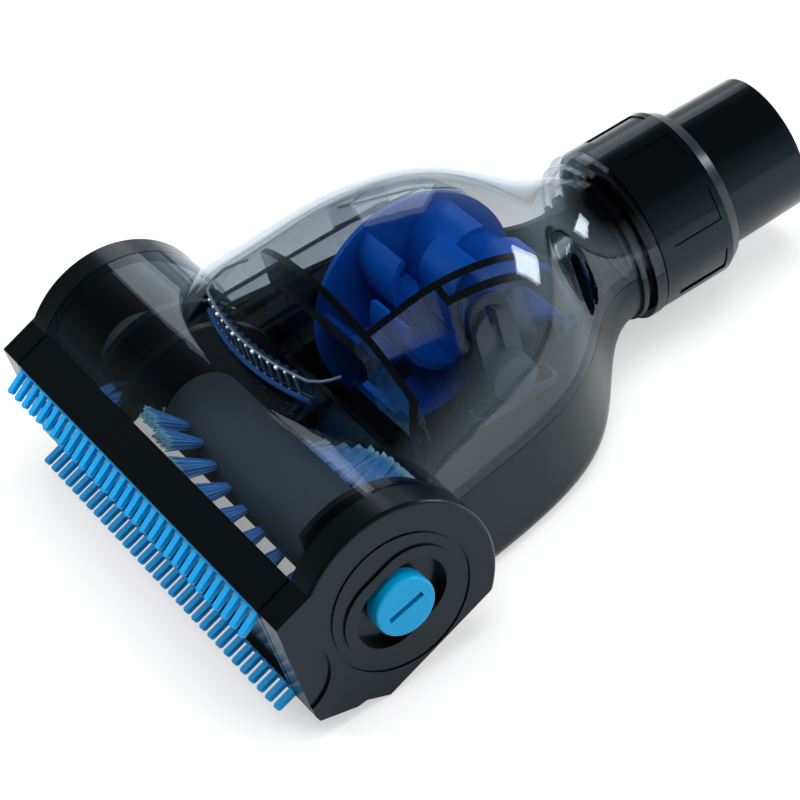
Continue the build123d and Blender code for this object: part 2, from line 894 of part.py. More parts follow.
right_end_cap.part.label = "right_end_cap"
export_step(right_end_cap.part, "parts/right_end_cap.step")

# Lock knob: coin-slotted disc whose stem carries a latch bar behind the cap
latch_end = cup_floor - knob_gap
latch_start = latch_end - latch_thickness
with BuildPart() as lock_knob:
    add(round_bar(side(recess_floor + knob_gap), knob_radius, knob_front - recess_floor - knob_gap))
    fillet(lock_knob.edges().group_by(Axis.X)[-1], 0.8)
    with BuildSketch(head_side(knob_front - slot_depth)):
        with Locations(Location((0, 0), slot_turn)):
            Rectangle(slot_length, slot_width)
    extrude(amount=slot_depth, mode=Mode.SUBTRACT)
    add(round_bar(side(latch_end), knob_stem_radius, recess_floor + knob_gap - latch_end))
    add(round_bar(side(latch_start), knob_tail_radius, latch_thickness))
    add(round_bar(side(latch_start - 1), screw_radius - 0.2, screw_length - 1.6), mode=Mode.SUBTRACT)
lock_knob.part.label = "lock_knob"
export_step(lock_knob.part, "parts/lock_knob.step")
with BuildPart() as knob_latch:
    with BuildSketch(head_side(latch_start)):
        SlotOverall(2 * latch_reach, latch_width)
        Circle(knob_tail_radius + seat_gap, mode=Mode.SUBTRACT)
    extrude(amount=latch_thickness)
knob_latch.part.label = "knob_latch"
export_step(knob_latch.part, "parts/knob_latch.step")
with BuildPart() as latch_screw:
    add(round_bar(side(latch_start - screw_head_height), screw_head_radius, screw_head_height))
    add(round_bar(side(latch_start), screw_radius - 0.2 - seat_gap, screw_length - 3))
    with BuildSketch(side(latch_start - screw_head_height)):
        Rectangle(cross_length, cross_width)
        Rectangle(cross_width, cross_length)
    extrude(amount=cross_depth, mode=Mode.SUBTRACT)
latch_screw.part.label = "latch_screw"
export_step(latch_screw.part, "parts/latch_screw.step")

# Brush roll: steel axle, two cores with bristle tufts, and the belt pulley between them
carrier_end = carrier_x + wall
axle_start = -cup_floor + end_play
axle_end = carrier_end + bush_length / 2 - end_play
axle_hole = axle_radius + seat_gap
pulley_start = chamber_left - wall / 2 - 0.5
pulley_end = chamber_right + wall / 2 + 0.5
with BuildPart() as roll_axle:
    add(round_bar(side(axle_start), axle_radius, axle_end - axle_start))
    chamfer(roll_axle.edges().filter_by(GeomType.CIRCLE), 0.4)
roll_axle.part.label = "roll_axle"
export_step(roll_axle.part, "parts/roll_axle.step")
core_collar = core_radius - 3.0
with BuildPart() as roll_core_right:
    add(
        turned(
            [
                (pulley_end, axle_hole),
                (pulley_end, core_radius),
                (core_right - 1.5, core_radius),
                (core_right - 1.5, core_collar),
                (core_right, core_collar),
                (core_right, axle_hole),
            ],
            0,
            0,
        )
    )
roll_core_right.part.label = "roll_core_right"
export_step(roll_core_right.part, "parts/roll_core_right.step")
with BuildPart() as roll_core_left:
    add(
        turned(
            [
                (core_left, axle_hole),
                (core_left, core_collar),
                (core_left + 1.5, core_collar),
                (core_left + 1.5, core_radius),
                (pulley_start, core_radius),
                (pulley_start, axle_hole),
            ],
            0,
            0,
        )
    )
roll_core_left.part.label = "roll_core_left"
export_step(roll_core_left.part, "parts/roll_core_left.step")
lip_outer = belt_x - belt_width / 2 - 0.4
lip_far = belt_x + belt_width / 2 + 0.4
with BuildPart() as roll_pulley:
    add(
        turned(
            [
                (pulley_start, axle_hole),
                (pulley_start, pulley_hub_radius),
                (lip_outer - pulley_lip_width, pulley_hub_radius),
                (lip_outer - pulley_lip_width, roll_pulley_radius + pulley_lip),
                (lip_outer, roll_pulley_radius + pulley_lip),
                (lip_outer, roll_pulley_radius),
                (lip_far, roll_pulley_radius),
                (lip_far, roll_pulley_radius + pulley_lip),
                (lip_far + pulley_lip_width, roll_pulley_radius + pulley_lip),
                (lip_far + pulley_lip_width, pulley_hub_radius),
                (pulley_end, pulley_hub_radius),
                (pulley_end, axle_hole),
            ],
            0,
            0,
        )
    )
roll_pulley.part.label = "roll_pulley"
export_step(roll_pulley.part, "parts/roll_pulley.step")

# Bristles: fan-shaped tufts in two chevron rows; their feet follow the core's surface
with BuildPart() as tuft:
    tuft_plane = Plane(origin=(mid, roll_y, roll_z), x_dir=(1, 0, 0), z_dir=(0, 1, 0))
    with BuildSketch(tuft_plane.offset(core_radius - 1.0)):
        RectangleRounded(tuft_root, tuft_depth * 0.8, 0.7)
    with BuildSketch(tuft_plane.offset(bristle_radius)):
        RectangleRounded(tuft_tip, tuft_depth * 1.3, 0.9)
    loft()
    add(round_bar(side(-cap_outer), core_radius + seat_gap, head_width), mode=Mode.SUBTRACT)
    add(round_bar(side(-cap_outer), bristle_radius, head_width), mode=Mode.INTERSECT)
roll_line = Axis((mid, roll_y, roll_z), (1, 0, 0))
tuft_stations = []
station = core_right - tuft_tip
while station > core_left + tuft_tip:
    if station > pulley_end + tuft_tip / 2 or station < pulley_start - tuft_tip / 2:
        tuft_stations.append(station)
    station = station - tuft_pitch
with BuildPart() as bristle_tufts:
    for x in tuft_stations:
        for start in (0, 180):
            angle = head_pitch + tuft_apex_angle + start + tuft_twist * abs(x - tuft_apex_x)
            add(tuft.part.rotate(roll_line, angle).translate((x, 0, 0)))
bristle_tufts.part.label = "bristle_tufts"
export_step(bristle_tufts.part, "parts/bristle_tufts.step")

# Roll bearings: one bush in the left cap's boss, one in a disc behind the right cap
with BuildPart() as roll_bush_left:
    add(round_bar(side(-cup_floor), bush_radius, bush_length))
    add(round_bar(side(-cup_floor), axle_radius + running_fit, bush_length), mode=Mode.SUBTRACT)
roll_bush_left.part.label = "roll_bush_left"
export_step(roll_bush_left.part, "parts/roll_bush_left.step")
with BuildPart() as roll_carrier:
    add(round_bar(side(carrier_x), window_inner - shell_gap, wall))
    add(round_bar(side(carrier_x), boss_radius, wall + bush_length / 2))
    add(round_bar(side(carrier_x), bush_hole, bush_length), mode=Mode.SUBTRACT)
    with BuildSketch(side(carrier_x)):
        with Locations((-far / 2 - cap_radius / 2, 0)):
            Rectangle(far, far)
    extrude(amount=wall, mode=Mode.SUBTRACT)
roll_carrier.part.label = "roll_carrier"
export_step(roll_carrier.part, "parts/roll_carrier.step")
with BuildPart() as roll_bush_right:
    add(round_bar(side(carrier_x), bush_radius, wall + bush_length / 2))
    add(round_bar(side(carrier_x), axle_radius + running_fit, far), mode=Mode.SUBTRACT)
roll_bush_right.part.label = "roll_bush_right"
export_step(roll_bush_right.part, "parts/roll_bush_right.step")

# Drive belt: flat loop from the turbine's small pulley to the roll's pulley
with BuildPart() as drive_belt:
    with BuildSketch(side(belt_x - belt_width / 2)):
        Circle(roll_pulley_radius + running_fit + belt_thickness)
        with Locations((turbine_y, turbine_z)):
            Circle(turbine_pulley_radius + running_fit + belt_thickness)
        make_hull()
    extrude(amount=belt_width)
    with BuildSketch(side(belt_x - belt_width / 2)):
        Circle(roll_pulley_radius + running_fit)
        with Locations((turbine_y, turbine_z)):
            Circle(turbine_pulley_radius + running_fit)
        make_hull()
    extrude(amount=belt_width, mode=Mode.SUBTRACT)
drive_belt.part.label = "drive_belt"
export_step(drive_belt.part, "parts/drive_belt.step")

# Turbine: bladed wheel on a steel shaft in two bushes, with the belt's small pulley
def vane(start, end, first):
    """Curved blade between two X places, its tip at an angle about the turbine's axis."""
    with BuildPart() as blade:
        with BuildSketch(turbine_side(start)):
            with BuildLine():
                Spline(
                    *(
                        (r * cos(radians(first + sweep)), r * sin(radians(first + sweep)))
                        for r, sweep in vane_outline
                    )
                )
            trace(line_width=vane_thickness)
        extrude(amount=end - start)
    return blade.part


wheel_start = turbine_disc_x - disc_thickness / 2 - shaft_step
with BuildPart() as turbine_wheel:
    add(round_bar(turbine_side(turbine_disc_x - disc_thickness / 2), turbine_radius, disc_thickness))
    add(round_bar(turbine_side(far_row_end - disc_thickness / 2), web_radius, disc_thickness))
    add(round_bar(turbine_side(wheel_start), hub_radius, near_row_end - wheel_start))
    for number in range(vane_count):
        step = 360 / vane_count
        add(vane(turbine_disc_x, far_row_end, vane_first + number * step))
        add(vane(far_row_end, near_row_end, vane_first + (number + 0.5) * step))
    add(round_bar(turbine_side(-cap_outer), shaft_radius + seat_gap, head_width), mode=Mode.SUBTRACT)
turbine_wheel.part.label = "turbine_wheel"
export_step(turbine_wheel.part, "parts/turbine_wheel.step")
with BuildPart() as turbine_shaft:
    add(round_bar(turbine_side(shaft_left), shaft_radius, bracket_end - end_play - shaft_left - wall))
    chamfer(turbine_shaft.edges().filter_by(GeomType.CIRCLE), 0.4)
turbine_shaft.part.label = "turbine_shaft"
export_step(turbine_shaft.part, "parts/turbine_shaft.step")
with BuildPart() as turbine_pulley:
    add(
        turned(
            [
                (lip_outer - pulley_lip_width, shaft_radius + seat_gap),
                (lip_outer - pulley_lip_width, turbine_pulley_radius + pulley_lip),
                (lip_outer, turbine_pulley_radius + pulley_lip),
                (lip_outer, turbine_pulley_radius),
                (lip_far, turbine_pulley_radius),
                (lip_far, turbine_pulley_radius + pulley_lip),
                (lip_far + pulley_lip_width, turbine_pulley_radius + pulley_lip),
                (lip_far + pulley_lip_width, shaft_radius + seat_gap),
            ],
            turbine_y,
            turbine_z,
        )
    )
turbine_pulley.part.label = "turbine_pulley"
export_step(turbine_pulley.part, "parts/turbine_pulley.step")

# Turbine bearings: a bush with a flange in the belt chamber's wall, and a screwed
# bracket on the other side that holds the second bush in its round boss
left_bush_start = chamber_right - wall / 2
with BuildPart() as turbine_bush_left:
    add(round_bar(turbine_side(left_bush_start), turbine_bush_radius, turbine_bush_length))
    add(round_bar(turbine_side(left_bush_start + wall + seat_gap), turbine_bush_radius + 1.2, 1.5))
    add(round_bar(turbine_side(-cap_outer), shaft_radius + running_fit, head_width), mode=Mode.SUBTRACT)
turbine_bush_left.part.label = "turbine_bush_left"
export_step(turbine_bush_left.part, "parts/turbine_bush_left.step")
foot_start = outer_rib_x + half_wall + seat_gap
boss_length = bracket_end - right_wall_x + half_wall
foot_depth = turbine_z - bracket_foot_z
with BuildPart() as turbine_bracket:
    with BuildSketch(turbine_side(foot_start)):
        with Locations((0, (arch_height - clip_half_width - foot_depth) / 2)):
            Rectangle(2 * clip_half_width, arch_height - clip_half_width + foot_depth)
        with Locations((0, arch_height - clip_half_width)):
            Circle(clip_half_width)
            Circle(arch_hole_radius, mode=Mode.SUBTRACT)
    extrude(amount=arch_thickness)
    with BuildSketch(turbine_side(foot_start)):
        with Locations((0, clip_height - clip_half_width)):
            Circle(clip_half_width)
        with Locations((0, (clip_height - clip_half_width) / 2)):
            Rectangle(2 * clip_half_width, clip_height - clip_half_width)
        with Locations((0, clip_height)):
            Rectangle(clip_gap, 2 * (clip_height - bracket_boss_radius), mode=Mode.SUBTRACT)
    extrude(amount=clip_thickness)
    add(round_bar(turbine_side(right_wall_x - half_wall), bracket_boss_radius, boss_length))
    add(
        block(
            foot_start,
            bracket_end - bracket_step,
            bracket_y0,
            bracket_y1,
            bracket_foot_z,
            bracket_foot_z + bracket_foot_thickness,
        )
    )
    for y in bracket_screw_places:
        with BuildSketch(plan(bracket_foot_z)):
            with Locations((bracket_screw_x, y)):
                Circle(screw_radius + seat_gap)
        extrude(amount=bracket_foot_thickness, mode=Mode.SUBTRACT)
    add(
        round_bar(turbine_side(right_wall_x - wall), bush_seat, bracket_end - right_wall_x),
        mode=Mode.SUBTRACT,
    )
turbine_bracket.part.label = "turbine_bracket"
export_step(turbine_bracket.part, "parts/turbine_bracket.step")
with BuildPart() as turbine_bush_right:
    add(round_bar(turbine_side(right_wall_x - wall / 2), turbine_bush_radius, bracket_end - wall - right_wall_x + wall / 2))
    add(round_bar(turbine_side(-cap_outer), shaft_radius + running_fit, head_width), mode=Mode.SUBTRACT)
turbine_bush_right.part.label = "turbine_bush_right"
export_step(turbine_bush_right.part, "parts/turbine_bush_right.step")

# Collar: bayonet ring that clamps the shells' halves and keeps the connector in place
with BuildPart() as collar_ring:
    add(
        neck_turned(
            [
                (collar_start, spigot_radius + running_fit),
                (collar_start, collar_radius),
                (collar_shoulder, collar_radius),
                (collar_end, collar_nose_radius),
                (collar_end, tube_radius + running_fit),
                (collar_lip, tube_radius + running_fit),
                (collar_lip, spigot_radius + running_fit),
            ]
        )
    )
    for number in range(collar_grips):
        add(
            sector(
                grip_start,
                grip_end - grip_start,
                far,
                (number + 0.5) * 360 / collar_grips - grip_arc / 2,
                grip_arc,
            )
            - round_bar(neck_face(0), collar_radius - grip_depth, far),
            mode=Mode.SUBTRACT,
        )
    for number in range(lug_count):
        lug_middle = (number + 0.5) * 360 / lug_count
        free = degrees(lug_clearance / spigot_radius) + lug_arc / 2
        add(
            sector(
                lug_start - lug_clearance,
                lug_end - lug_start + 2 * lug_clearance,
                lug_radius + lug_clearance,
                lug_middle - collar_travel - free,
                collar_travel + 2 * free,
            ),
            mode=Mode.SUBTRACT,
        )
        add(
            sector(
                collar_start,
                lug_end - collar_start,
                lug_radius + lug_clearance,
                lug_middle - collar_travel - free,
                2 * free,
            ),
            mode=Mode.SUBTRACT,
        )
collar_ring.part.label = "collar_ring"
export_step(collar_ring.part, "parts/collar_ring.step")

# Connector: swivelling tube with a flange behind the collar's lip and a wand socket
socket_floor = rear_reach - socket_length
with BuildPart() as connector_tube:
    add(
        neck_turned(
            [
                (tube_start, tube_inner_bore),
                (tube_start, tube_radius),
                (spigot_end + end_play, tube_radius),
                (spigot_end + end_play, tube_flange_radius),
                (collar_lip - end_play, tube_flange_radius),
                (collar_lip - end_play, tube_radius),
                (tube_taper_start, tube_radius),
                (rear_reach, tube_end_radius),
                (rear_reach, tube_bore),
                (socket_floor, tube_bore),
                (socket_floor, tube_inner_bore),
            ]
        )
    )
connector_tube.part.label = "connector_tube"
export_step(connector_tube.part, "parts/connector_tube.step")
with BuildPart() as neck_seal:
    add(
        neck_turned(
            [
                (socket_start, seal_bore),
                (socket_start, tube_radius),
                (tube_start - end_play, tube_radius),
                (tube_start - end_play, seal_bore),
            ]
        )
    )
neck_seal.part.label = "neck_seal"
export_step(neck_seal.part, "parts/neck_seal.step")

# Screws: two hold the bracket's foot, two hold the left cap to the front frame
with BuildPart() as bracket_screws:
    for y in bracket_screw_places:
        add(
            screw(
                bracket_screw_x,
                y,
                bracket_foot_z + bracket_foot_thickness,
                ((1, 0, 0), (0, 0, 1)),
                screw_length,
            )
        )
bracket_screws.part.label = "bracket_screws"
export_step(bracket_screws.part, "parts/bracket_screws.step")
with BuildPart() as cap_screws:
    for y, z in cap_screw_places:
        add(
            screw(
                -cap_outer + screw_head_height,
                y * cos(turn) - z * sin(turn),
                y * sin(turn) + z * cos(turn),
                ((0, -1, 0), (-1, 0, 0)),
                cap_width + screw_length / 2,
            )
        )
cap_screws.part.label = "cap_screws"
export_step(cap_screws.part, "parts/cap_screws.step")
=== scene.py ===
import bpy
import json
from math import atan2, cos, pi, radians, sin
from mathutils import Matrix, Vector


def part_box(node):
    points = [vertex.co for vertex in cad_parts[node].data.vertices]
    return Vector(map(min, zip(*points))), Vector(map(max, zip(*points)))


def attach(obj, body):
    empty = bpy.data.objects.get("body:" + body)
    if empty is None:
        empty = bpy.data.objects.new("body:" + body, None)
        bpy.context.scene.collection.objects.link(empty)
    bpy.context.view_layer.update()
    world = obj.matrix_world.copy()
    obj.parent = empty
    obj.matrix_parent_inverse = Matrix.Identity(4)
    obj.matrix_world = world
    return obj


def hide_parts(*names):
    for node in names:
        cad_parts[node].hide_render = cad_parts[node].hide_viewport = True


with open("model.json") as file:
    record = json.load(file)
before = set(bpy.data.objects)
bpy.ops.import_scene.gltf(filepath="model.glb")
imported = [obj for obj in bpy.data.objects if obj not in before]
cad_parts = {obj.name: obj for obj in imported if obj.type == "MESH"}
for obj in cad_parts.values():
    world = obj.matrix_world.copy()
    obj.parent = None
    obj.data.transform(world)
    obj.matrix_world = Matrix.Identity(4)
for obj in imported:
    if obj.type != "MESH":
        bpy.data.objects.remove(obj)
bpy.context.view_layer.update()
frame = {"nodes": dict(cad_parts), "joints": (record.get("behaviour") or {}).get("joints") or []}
nodes = frame["nodes"]


def deselect_all():
    """Operators act on whatever is selected, so everything is let go first."""
    for shown in bpy.context.selected_objects:
        shown.select_set(False)


deselect_all()

# Black shell parts: the base housing, front frame, end caps, bearing disc and bracket.
# Injection-moulded black plastic with a satin-gloss skin, clipped and screwed together.
grain_size = 900.0
grain_depth = 0.0002


def set_inputs(shader, values):
    """Values go straight onto a shader's own sockets."""
    for name, value in values.items():
        shader.inputs[name].default_value = value


def link_all(tree, *pairs):
    """Joins each output socket to the input socket that stands beside it."""
    for source, target in pairs:
        tree.links.new(source, target)


def plastic(name, colour, roughness, grain, **extra):
    """Moulded plastic: one colour, with a faint grain that softens its reflections."""
    material = bpy.data.materials.new(name)
    material.use_nodes = True
    tree = material.node_tree
    shader = tree.nodes["Principled BSDF"]
    set_inputs(shader, {"Base Color": (*colour, 1), "Roughness": roughness, "IOR": 1.5, **extra})
    if grain:
        where = tree.nodes.new("ShaderNodeTexCoord")
        noise = tree.nodes.new("ShaderNodeTexNoise")
        set_inputs(noise, {"Scale": grain_size, "Detail": 2.0})
        bump = tree.nodes.new("ShaderNodeBump")
        set_inputs(bump, {"Strength": grain, "Distance": grain_depth})
        link_all(
            tree,
            (where.outputs["Object"], noise.inputs["Vector"]),
            (noise.outputs["Fac"], bump.inputs["Height"]),
            (bump.outputs["Normal"], shader.inputs["Normal"]),
        )
    return material


def finish_node(node, material):
    """Gives a CAD node one finish all over."""
    shape = nodes[node]
    if not shape.material_slots:
        shape.data.materials.append(None)
    for place in shape.material_slots:
        place.material = material


cool_gloss = {"Specular IOR Level": 0.26, "Specular Tint": (0.72, 1.0, 1.2, 1)}
satin_black = plastic("satin_black_shell", (0.0022, 0.0032, 0.0038), 0.22, 0.03, **cool_gloss)
for node in ("base_housing", "front_frame", "left_end_cap", "right_end_cap"):
    finish_node(node, satin_black)
inner_black = plastic("inner_black", (0.006, 0.008, 0.010), 0.4, 0.1, **cool_gloss)
finish_node("roll_carrier", inner_black)
bracket_grey = plastic("bracket_grey", (0.030, 0.045, 0.065), 0.35, 0.1)
finish_node("turbine_bracket", bracket_grey)

# Top cover: smoked clear plastic, moulded in one piece over the roll and the turbine.
# Its polished faces mirror the lamps and let the parts below show through.
straight_gloss, glance_gloss = 0.045, 0.95
glance_power = 5.0
upward_slope = 0.3


def colour_mix(tree, first, second):
    """Mix of two colours; a colour mix keeps them in its inputs 6 and 7."""
    mix = tree.nodes.new("ShaderNodeMix")
    mix.data_type = "RGBA"
    mix.inputs[6].default_value = (*first, 1)
    mix.inputs[7].default_value = (*second, 1)
    return mix


def arithmetic(tree, operation, value=None):
    """One step of arithmetic; its second value is set where nothing is linked to it."""
    step = tree.nodes.new("ShaderNodeMath")
    step.operation = operation
    if value is not None:
        step.inputs[1].default_value = value
    return step


def output_of(tree):
    """The node that a material's surface ends in."""
    return next(node for node in tree.nodes if node.type == "OUTPUT_MATERIAL")


def painted_shade_on_upward_faces(tree, surface, colour):
    """Faces that look up get painted shade: a plain dark colour, as the thick edges of clear
    walls show.
    """
    where = tree.nodes.new("ShaderNodeTexCoord")
    split = tree.nodes.new("ShaderNodeSeparateXYZ")
    upward = arithmetic(tree, "GREATER_THAN", upward_slope)
    dark = tree.nodes.new("ShaderNodeBsdfPrincipled")
    set_inputs(dark, {"Base Color": (*colour, 1), "Roughness": 0.35, "Specular IOR Level": 0.2})
    pick = tree.nodes.new("ShaderNodeMixShader")
    link_all(
        tree,
        (where.outputs["Normal"], split.inputs["Vector"]),
        (split.outputs["Z"], upward.inputs[0]),
        (upward.outputs["Value"], pick.inputs["Fac"]),
        (surface, pick.inputs[1]),
        (dark.outputs["BSDF"], pick.inputs[2]),
    )
    return pick.outputs["Shader"]


def clear_plastic(name, tint, glance_tint, polish, shade_on_top=None):
    """Thin clear wall: it lets tinted light through and mirrors more at a glance."""
    material = bpy.data.materials.new(name)
    material.use_nodes = True
    tree = material.node_tree
    tree.nodes.remove(tree.nodes["Principled BSDF"])
    through = tree.nodes.new("ShaderNodeBsdfTransparent")
    depth = colour_mix(tree, tint, glance_tint)
    gloss = tree.nodes.new("ShaderNodeBsdfAnisotropic")
    set_inputs(gloss, {"Color": (0.80, 0.92, 1.0, 1), "Roughness": polish})
    facing = tree.nodes.new("ShaderNodeLayerWeight")
    set_inputs(facing, {"Blend": 0.5})
    power = arithmetic(tree, "POWER", glance_power)
    share = tree.nodes.new("ShaderNodeMapRange")
    set_inputs(share, {"To Min": straight_gloss, "To Max": glance_gloss})
    mix = tree.nodes.new("ShaderNodeMixShader")
    link_all(
        tree,
        (facing.outputs["Facing"], power.inputs[0]),
        (facing.outputs["Facing"], depth.inputs[0]),
        (depth.outputs[2], through.inputs["Color"]),
        (power.outputs["Value"], share.inputs["Value"]),
        (share.outputs["Result"], mix.inputs["Fac"]),
        (through.outputs["BSDF"], mix.inputs[1]),
        (gloss.outputs["BSDF"], mix.inputs[2]),
    )
    surface = mix.outputs["Shader"]
    # Upward faces get painted shade when a shade colour is given.
    if shade_on_top:
        surface = painted_shade_on_upward_faces(tree, surface, shade_on_top)
    tree.links.new(surface, output_of(tree).inputs["Surface"])
    return material


smoke, smoke_at_a_glance = (0.91, 0.91, 0.915), (0.70, 0.70, 0.71)
finish_node("top_cover", clear_plastic("smoked_clear_plastic", smoke, smoke_at_a_glance, 0.015))

# Air guide: clear insert under the cover, with the partitions beside the turbine. Their top
# edges look black from above, as the edges of clear walls do; that black is painted shade on
# the faces that look up.
pale_blue, pale_blue_at_a_glance = (0.86, 0.90, 0.92), (0.70, 0.75, 0.78)
painted_edge_shade = (0.002, 0.003, 0.004)
guide_clear = clear_plastic(
    "guide_clear_plastic", pale_blue, pale_blue_at_a_glance, 0.05, painted_edge_shade
)
finish_node("air_guide", guide_clear)

# Combs and lock knob: bright blue plastic. The combs' rounded teeth are flexible, and a coin
# turns the knob by its slot. The latch and the two belt pulleys inside are pale.
blue_comb = plastic("blue_comb_plastic", (0.0, 0.29, 0.66), 0.35, 0.0, **cool_gloss)
for node in ("upper_comb", "lower_comb"):
    finish_node(node, blue_comb)
blue_knob = plastic("blue_knob_plastic", (0.0, 0.25, 0.50), 0.3, 0.0, **cool_gloss)
finish_node("lock_knob", blue_knob)
pale_plastic = plastic("pale_plastic", (0.55, 0.55, 0.52), 0.4, 0.0)
for node in ("knob_latch", "roll_pulley", "turbine_pulley"):
    finish_node(node, pale_plastic)

# Brush roll: a dark grey core in two halves, on either side of the belt's pulley. Two rows
# of blue tufts stand on it in a chevron.
core_black = plastic("roll_core_black", (0.040, 0.055, 0.068), 0.5, 0.1, **cool_gloss)
for node in ("roll_core_left", "roll_core_right"):
    finish_node(node, core_black)

# Bristles: stiff nylon filaments, punched into the core in bundles. Each bundle fans out
# along the roll, its colour running from dark blue at its foot to pale at its tips.
joints = {joint["name"]: joint for joint in frame["joints"]}
roll_axis = Vector(joints["roll_spin"]["pos_m"])
core_low, core_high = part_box("roll_core_right")
core_radius = (core_high.z - core_low.z) / 2
tufts_low, tufts_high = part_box("bristle_tufts")
bristle_reach = (tufts_high.y - tufts_low.y) / 2
filament_sides = 4
filament_radius = 0.00017
filament_taper = 0.7
filament_root = 0.0003
filaments_in_tuft = 120
foot_half_length, foot_half_depth = 0.0014, 0.0007
tip_half_length, tip_half_depth = 0.0042, 0.0019
tip_raggedness = 0.0012
stray_along, stray_deep = 0.0004, 0.0005
golden = 0.618034
along_step, deep_step, stray_step = golden, golden * golden * 1.7, 0.3819 * 1.31
tuft_seeds = (0, 37, 71)
weld = 1e-6


def spread(number, step):
    """Even but unordered share between -1 and 1."""
    return 2 * ((number * step) % 1.0) - 1


def filament(number, seed):
    """One tapered strand of the model tuft, which stands along +Z over the roll's axis."""
    along, deep, stray = (
        spread(number + seed, step) for step in (along_step, deep_step, stray_step)
    )
    root = core_radius - filament_root
    foot = Vector((along * foot_half_length, deep * foot_half_depth, root))
    tip_x = along * tip_half_length + stray * stray_along
    tip_y = deep * tip_half_depth - stray * stray_deep
    tip = Vector((tip_x, tip_y, bristle_reach - tip_raggedness * (0.5 + 0.5 * stray) ** 2))
    run = tip - foot
    bpy.ops.mesh.primitive_cone_add(
        vertices=filament_sides,
        radius1=filament_radius,
        radius2=filament_radius * filament_taper,
        depth=run.length,
        location=(foot + tip) / 2,
        rotation=run.to_track_quat("Z", "Y").to_euler(),
    )


def model_tuft(seed):
    """Bundle of filaments in one mesh."""
    deselect_all()
    filament(0, seed)
    bundle = bpy.context.active_object
    bpy.ops.object.transform_apply(location=True, rotation=True, scale=True)
    bpy.ops.object.mode_set(mode="EDIT")
    for number in range(1, filaments_in_tuft):
        filament(number, seed)
    bpy.ops.object.mode_set(mode="OBJECT")
    return bundle


deselect_all()
plan_of_tufts = nodes["bristle_tufts"].copy()
plan_of_tufts.data = nodes["bristle_tufts"].data.copy()
plan_of_tufts.parent = None
bpy.context.scene.collection.objects.link(plan_of_tufts)
plan_of_tufts.select_set(True)
bpy.context.view_layer.objects.active = plan_of_tufts
bpy.ops.object.mode_set(mode="EDIT")
bpy.ops.mesh.select_all(action="SELECT")
bpy.ops.mesh.remove_doubles(threshold=weld)
bpy.ops.mesh.separate(type="LOOSE")
bpy.ops.object.mode_set(mode="OBJECT")
solid_tufts = list(bpy.context.selected_objects)
tuft_places = []
for solid in solid_tufts:
    corners = [corner.co for corner in solid.data.vertices]
    tuft_places.append(sum(corners, Vector()) / len(corners))
    bpy.data.objects.remove(solid)
tuft_places.sort(key=lambda place: (round(place.x, 5), place.y))
models = [model_tuft(seed) for seed in tuft_seeds]
strands = []
for number, place in enumerate(tuft_places):
    lean = atan2(place.z - roll_axis.z, place.y - roll_axis.y)
    tuft = models[number % len(models)].copy()
    tuft.data = tuft.data.copy()
    stand = Matrix.Translation((place.x, roll_axis.y, roll_axis.z))
    tuft.data.transform(stand @ Matrix.Rotation(lean - pi / 2, 4, "X"))
    bpy.context.scene.collection.objects.link(tuft)
    strands.append(tuft)
for model in models:
    bpy.data.objects.remove(model)
deselect_all()
for tuft in strands:
    tuft.select_set(True)
bpy.context.view_layer.objects.active = strands[0]
bpy.ops.object.join()
bristles = bpy.context.active_object
bristles.name = "bristle_strands"
nylon = plastic("blue_nylon", (0.05, 0.16, 0.42), 0.4, 0.0)
nylon_tree = nylon.node_tree
from_axis = nylon_tree.nodes.new("ShaderNodeMapping")
set_inputs(from_axis, {"Location": (0, -roll_axis.y, -roll_axis.z), "Scale": (0, 1, 1)})
object_place = nylon_tree.nodes.new("ShaderNodeTexCoord")
radius = nylon_tree.nodes.new("ShaderNodeVectorMath")
radius.operation = "LENGTH"
share = nylon_tree.nodes.new("ShaderNodeMapRange")
set_inputs(share, {"From Min": core_radius, "From Max": bristle_reach})
shade = nylon_tree.nodes.new("ShaderNodeValToRGB")
shade.color_ramp.elements[0].color = (0.03, 0.15, 0.45, 1)
shade.color_ramp.elements[1].color = (0.42, 0.85, 0.90, 1)
for stop, colour in ((0.35, (0.06, 0.27, 0.68, 1)), (0.84, (0.09, 0.38, 0.80, 1))):
    shade.color_ramp.elements.new(stop).color = colour
nylon_shader = nylon_tree.nodes["Principled BSDF"]
link_all(
    nylon_tree,
    (object_place.outputs["Object"], from_axis.inputs["Vector"]),
    (from_axis.outputs["Vector"], radius.inputs[0]),
    (radius.outputs["Value"], share.inputs["Value"]),
    (share.outputs["Result"], shade.inputs["Fac"]),
    (shade.outputs["Color"], nylon_shader.inputs["Base Color"]),
)
bristles.data.materials.clear()
bristles.data.materials.append(nylon)
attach(bristles, "brush")
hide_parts("bristle_tufts")

# Thumb grip: upright ribs moulded on the front wall of the dome's scoop, under a thick lip.
# Clear plastic looks white along such rounded edges and nearly black between them. Bars paint
# this: pale bars are painted highlights, short white bars are painted glints, and dark blue
# bars between the ribs are painted shade.
bar_sides = 10
middle_x = -0.0014
roll_middle = Vector((middle_x, roll_axis.y, roll_axis.z))
grip_ribs = 14
grip_rib_pitch = 0.0035
grip_half_width = 0.027
grip_front, grip_sweep = 0.0093, 0.0039
grip_foot, grip_top = 0.0294, 0.0354
half_lip_steps = 12
left_turn = ((-0.0300, 0.0164), (-0.0313, 0.0210), (-0.0305, 0.0250), (-0.0293, 0.0275))
right_turn = ((0.0297, 0.0150), (0.0312, 0.0172), (0.0322, 0.0200))
highlight_stand, highlight_radius = 0.0008, 0.00042
lip_highlight_stand, lip_highlight_radius = 0.0004, 0.0004
foot_highlight_stand, foot_highlight_radius = 0.0002, 0.0002
glint_stand, glint_half_length = 0.0010, 0.0003
small_glint, large_glint, highlight_streak_radius = 0.0003, 0.00052, 0.00028
rim_stand, rim_drop, rim_radius = 0.0016, 0.0004, 0.0008
shade_stand, shade_radius = -0.0004, 0.0011


def on_grip(across, forward, height):
    """Place on the scoop's bowed front wall, a little in front of it."""
    bow = grip_front + grip_sweep * (across / grip_half_width) ** 2
    return roll_middle + Vector((across, bow - forward, height))


